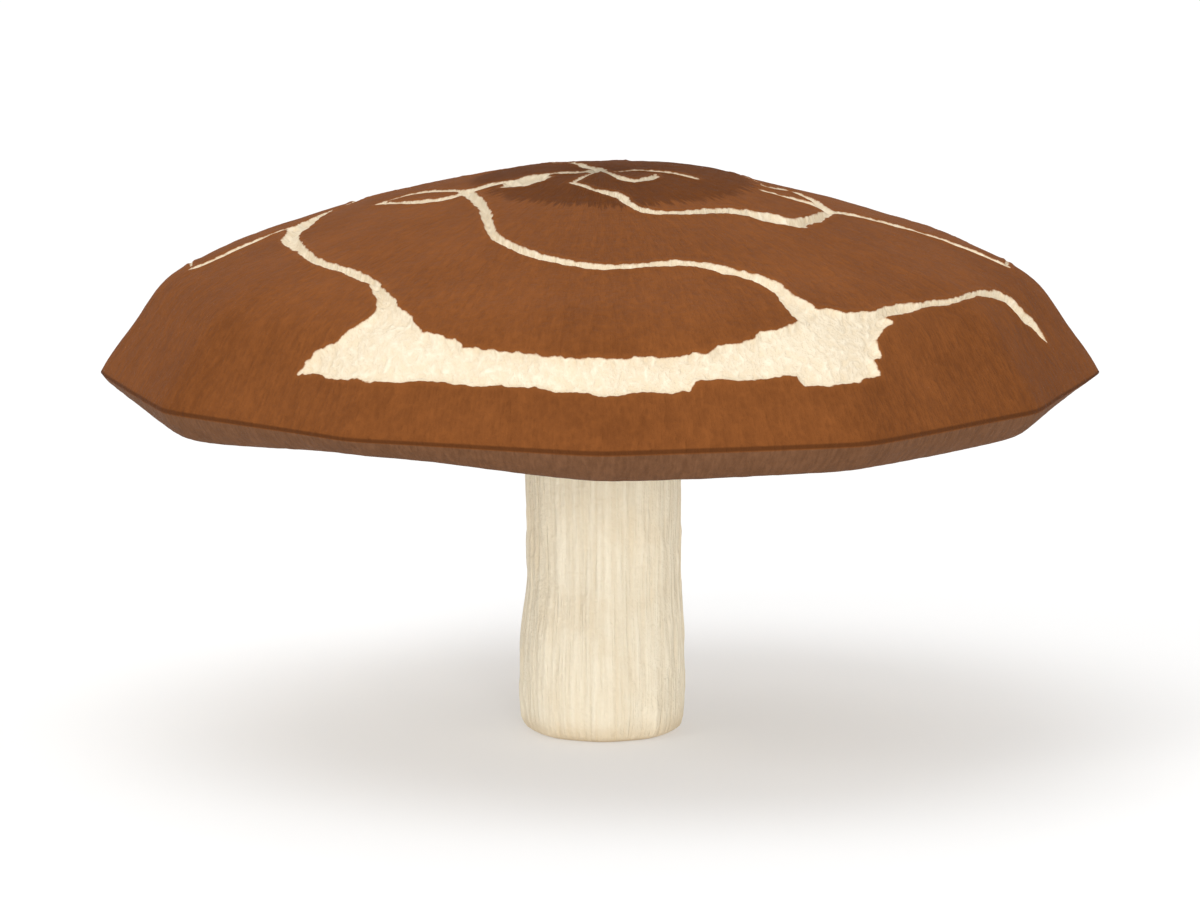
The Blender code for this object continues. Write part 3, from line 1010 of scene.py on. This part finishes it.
def make_mottle_group():
    """Broad patches and a fine grain, both as masks."""
    inputs = {"Patch size": ("NodeSocketFloat", 0.01), "Grain size": ("NodeSocketFloat", 0.0008)}
    outputs = {"Patches": "NodeSocketFloat", "Grain": "NodeSocketFloat"}
    group, entry, exits = new_group("Mottle", inputs, outputs)
    here = put(group, "ShaderNodeTexCoord").outputs["Object"]
    for label, source, detail in (("Patches", "Patch size", 3.0), ("Grain", "Grain size", 4.0)):
        scale = maths(group, "DIVIDE", 1.0, entry.outputs[source])
        texture = noise_texture(group, here, scale, detail, 0.55)
        set_inputs(group, exits, {label: fade(group, texture.outputs["Fac"], 0.3, 0.7)})
    return group


def make_flesh_group(fibres):
    """Pale mushroom flesh: its colour with faint fibres, and the height of those fibres."""
    inputs = {
        "Around": ("NodeSocketVector", None),
        "Length": ("NodeSocketFloat", 0.0),
        "Light": ("NodeSocketColor", None),
        "Shade": ("NodeSocketColor", None),
        "Across": ("NodeSocketFloat", 40.0),
        "Along": ("NodeSocketFloat", 150.0),
    }
    outputs = {"Colour": "NodeSocketColor", "Height": "NodeSocketFloat"}
    group, entry, exits = new_group("Flesh", inputs, outputs)
    passed_on = {label: entry.outputs[label] for label in ("Around", "Length", "Across", "Along")}
    streaks = use(group, fibres, passed_on).outputs["Streaks"]
    colour = blend_colours(group, streaks, entry.outputs["Shade"], entry.outputs["Light"])
    set_inputs(group, exits, {"Colour": colour, "Height": streaks})
    return group


def new_material(name):
    """A material with its Principled shader."""
    mat = bpy.data.materials.new(name)
    mat.use_nodes = True
    return mat, mat.node_tree, mat.node_tree.nodes["Principled BSDF"]


def attribute(tree, name):
    """A named value on the mesh's points."""
    return put(tree, "ShaderNodeAttribute", attribute_name=name).outputs["Fac"]


def bumps(tree, height, distance, strength):
    """The normal of a surface whose height, from 0 to 1, spans a distance in metres."""
    sockets = {"Height": height, "Distance": distance, "Strength": strength}
    return put(tree, "ShaderNodeBump", sockets).outputs[0]


def weighed(tree, parts):
    """The sum of several masks, each times its weight."""
    total = 0.0
    for mask, weight in parts:
        sockets = {0: mask, 1: weight, 2: total}
        total = put(tree, "ShaderNodeMath", sockets, operation="MULTIPLY_ADD").outputs[0]
    return total


def cap_material(groups):
    """Brown scaly skin with a dark crown, cream flesh in the splits and a grey-brown rolled rim, with painted
    shade darkening the skin towards the margin and a thin painted shade line along the margin.
    """
    mat, tree, shader = new_material("cap skin and flesh")
    place = use(tree, groups["place"])
    below = attribute(tree, "below_margin")
    radial = {"Around": place.outputs["Around"], "Length": maths(tree, "MULTIPLY", below, MM)}
    mottle = use(tree, groups["mottle"], {"Patch size": 0.009, "Grain size": 0.0007})
    fibrils = use(tree, groups["fibres"], radial | {"Across": 120.0, "Along": 620.0, "Sharpness": 0.22})
    scales = use(tree, groups["fibres"], radial | {"Across": 34.0, "Along": 330.0, "Sharpness": 0.08})
    bands = use(tree, groups["fibres"], radial | {"Across": 11.0, "Along": 90.0, "Sharpness": 0.3})
    patches, grain = mottle.outputs["Patches"], mottle.outputs["Grain"]
    fibrils, scales, bands = (node.outputs["Streaks"] for node in (fibrils, scales, bands))
    tone = weighed(tree, [(patches, 0.28), (bands, 0.07), (fibrils, 0.22), (scales, 0.17), (grain, 0.26)])
    # Painted shade: the tone drops towards the margin, against the extra light that the front lamps throw on
    # the cap's steep sides
    outer = fade(tree, place.outputs["Radius"], *OUTER_PAINTED_SHADE, 0.0, 0.2)
    tone = maths(tree, "SUBTRACT", tone, outer, clamp=True)
    skin = blend_colours(tree, tone, CAP_DARK, CAP_LIGHT)
    here = put(tree, "ShaderNodeTexCoord").outputs["Object"]
    from_middle = vector_maths(tree, "SUBTRACT", here, CROWN_MIDDLE)
    from_middle = vector_maths(tree, "MULTIPLY", from_middle, (1.0, 1.0, 0.0))
    reach = vector_maths(tree, "LENGTH", from_middle, result="Value")
    reach = weighed(tree, [(reach, 1.0), (fibrils, 0.0007), (scales, 0.0009), (patches, 0.0008)])
    crown = fade(tree, reach, CROWN_RADIUS, CROWN_RADIUS + CROWN_FADE, 1.0, 0.0)
    skin = blend_colours(tree, crown, skin, blend_colours(tree, tone, CROWN_DARK, CROWN_LIGHT))
    # Painted shade: a thin dark line along the margin, where the skin turns under to the rim
    painted_crease_shade = fade(tree, maths(tree, "ABSOLUTE", below), *PAINTED_CREASE_LINE, 0.8, 0.0)
    skin = blend_colours(tree, painted_crease_shade, skin, MARGIN_PAINTED_SHADE)
    rim_tone = weighed(tree, [(fibrils, 0.5), (bands, 0.25), (grain, 0.25)])
    rim = blend_colours(tree, rim_tone, RIM_DARK, RIM_LIGHT)
    rim = blend_colours(tree, fade(tree, below, *LIP_PLACE), rim, LIP_PALE)
    skin = blend_colours(tree, fade(tree, below, *RIM_PLACE), skin, rim)
    split = maths(tree, "SUBTRACT", weighed(tree, [(grain, 0.1), (attribute(tree, "split"), 1.0)]), 0.05)
    skin = blend_colours(tree, fade(tree, split, *BESIDE_SPLIT, 0.35, 0.0), skin, CAP_LIGHT)
    looks = {"Light": SPLIT_LIGHT, "Shade": SPLIT_SHADE, "Across": 60.0, "Along": 1300.0}
    flesh = use(tree, groups["flesh"], radial | looks)
    fringe = fade(tree, split, *FRINGE_PLACE, 0.0, 0.5)
    fringed = blend_colours(tree, fringe, flesh.outputs["Colour"], FRINGE_TAN)
    opened = fade(tree, split, *SPLIT_EDGE, 1.0, 0.0)
    rough = weighed(tree, [(grain, 0.12), (scales, 0.08), (opened, 0.14)])
    skin_height = weighed(tree, [(fibrils, 0.3), (scales, 0.3), (grain, 0.4)])
    sockets = {0: opened, 2: skin_height, 3: flesh.outputs["Height"]}
    height = put(tree, "ShaderNodeMix", sockets, data_type="FLOAT").outputs[0]
    set_inputs(tree, shader, {
        "Base Color": blend_colours(tree, opened, skin, fringed),
        "Roughness": maths(tree, "ADD", rough, 0.66, clamp=True),
        "Normal": bumps(tree, height, 0.00022, 0.8),
        "Specular IOR Level": 0.06,
    })
    return mat


def gill_material(groups):
    """Cream gill flesh that turns tan towards the free edges and the margin."""
    mat, tree, shader = new_material("gill flesh")
    place = use(tree, groups["place"])
    radial = {"Around": place.outputs["Around"], "Length": place.outputs["Radius"]}
    looks = {"Light": GILL_LIGHT, "Shade": GILL_SHADE, "Across": 120.0, "Along": 260.0}
    flesh = use(tree, groups["flesh"], radial | looks)
    mottle = use(tree, groups["mottle"], {"Patch size": 0.007, "Grain size": 0.0006})
    edge = fade(tree, attribute(tree, "depth"), *AGED_DEPTH, 0.0, 0.35)
    outer = fade(tree, place.outputs["Radius"], *AGED_RADIUS, 0.0, 0.3)
    patches = maths(tree, "MULTIPLY", mottle.outputs["Patches"], 0.2)
    aged = maths(tree, "ADD", maths(tree, "ADD", edge, outer), patches)
    set_inputs(tree, shader, {
        "Base Color": blend_colours(tree, aged, flesh.outputs["Colour"], GILL_AGED),
        "Roughness": fade(tree, mottle.outputs["Grain"], 0.0, 1.0, 0.7, 0.85),
        "Normal": bumps(tree, flesh.outputs["Height"], 0.0001, 0.6),
        "Specular IOR Level": 0.25,
    })
    return mat


def stem_material(groups):
    """Pale fibrous stem skin, tan between its fibres, with a browned cut end."""
    mat, tree, shader = new_material("stem skin")
    place = use(tree, groups["place"])
    height = place.outputs["Height"]
    lengthways = {"Around": place.outputs["Around"], "Length": height}
    looks = {"Light": STEM_LIGHT, "Shade": STEM_SHADE, "Across": 14.0, "Along": 90.0}
    flesh = use(tree, groups["flesh"], lengthways | looks)
    mottle = use(tree, groups["mottle"], {"Patch size": 0.006, "Grain size": 0.0005})
    patches, grain = mottle.outputs["Patches"], mottle.outputs["Grain"]
    stains = fade(tree, patches, 0.5, 1.0, 0.0, 0.2)
    colour = blend_colours(tree, stains, flesh.outputs["Colour"], STEM_STAIN)
    foot = fade(tree, height, *FOOT_STAIN, 0.45, 0.0)
    colour = blend_colours(tree, foot, colour, STEM_CUT)
    speckles = weighed(tree, [(grain, 0.6), (patches, 0.4)])
    browned = fade(tree, place.outputs["Radius"], *CUT_RING, 0.0, 0.7)
    cut = blend_colours(tree, browned, blend_colours(tree, speckles, STEM_SHADE, STEM_LIGHT), STEM_CUT)
    fine = maths(tree, "ADD", flesh.outputs["Height"], maths(tree, "MULTIPLY", grain, 0.4))
    set_inputs(tree, shader, {
        "Base Color": blend_colours(tree, fade(tree, height, *CUT_HEIGHT, 1.0, 0.0), colour, cut),
        "Roughness": fade(tree, grain, 0.0, 1.0, 0.72, 0.88),
        "Normal": bumps(tree, fine, 0.00022, 0.7),
        "Specular IOR Level": 0.25,
    })
    return mat


# Floor, light and camera

def make_floor():
    """A plain pale floor."""
    mesh = bpy.data.meshes.new("floor")
    half = FLOOR_SIZE / 2
    corners = [(-half, -half, 0), (half, -half, 0), (half, half, 0), (-half, half, 0)]
    mesh.from_pydata(corners, [], [(0, 1, 2, 3)])
    floor = new_object("floor", mesh)
    mat, tree, shader = new_material("floor paint")
    set_inputs(tree, shader, {
        "Base Color": FLOOR_COLOUR,
        "Roughness": 0.9,
        "Specular IOR Level": 0.0,
        "Emission Color": WHITE,
        "Emission Strength": FLOOR_GLOW,
    })
    mesh.materials.append(mat)


def make_light():
    """An even white surround and four soft lamps: overhead, upper left, in front and behind."""
    world = bpy.data.worlds.new("studio")
    bpy.context.scene.world = world
    world.use_nodes = True
    background = world.node_tree.nodes["Background"]
    set_inputs(world.node_tree, background, {"Color": WHITE, "Strength": SURROUND_STRENGTH})
    for name, place, size, power in LAMPS:
        lamp = bpy.data.lights.new(name, "AREA")
        lamp.shape = "DISK"
        lamp.size = size
        lamp.energy = power
        ob = new_object(name, lamp)
        ob.location = place
        ob.rotation_euler = (Vector(LAMP_AIM) - Vector(place)).to_track_quat("-Z", "Y").to_euler()


def make_camera():
    """The camera of the photograph's view, level round its own axis and looking slightly down."""
    camera = bpy.data.cameras.new("camera")
    camera.sensor_width = SENSOR_WIDTH
    camera.lens = CAMERA_DISTANCE * PIXELS_PER_MM / PHOTO_WIDTH * SENSOR_WIDTH
    ob = new_object("camera", camera)
    ob.location = sight_line(PHOTO_WIDTH / 2, PHOTO_HEIGHT / 2)[0] * MM
    ob.rotation_euler = (math.pi / 2 - CAMERA_ELEVATION, 0, 0)
    bpy.context.scene.camera = ob


scene = bpy.context.scene
scene.view_settings.view_transform = "Standard"
make_camera()
make_light()
make_floor()
fibres = make_fibre_group()
groups = {
    "place": make_round_place_group(),
    "fibres": fibres,
    "mottle": make_mottle_group(),
    "flesh": make_flesh_group(fibres),
}
make_cap().data.materials.append(cap_material(groups))
make_gills().data.materials.append(gill_material(groups))
make_stem().data.materials.append(stem_material(groups))
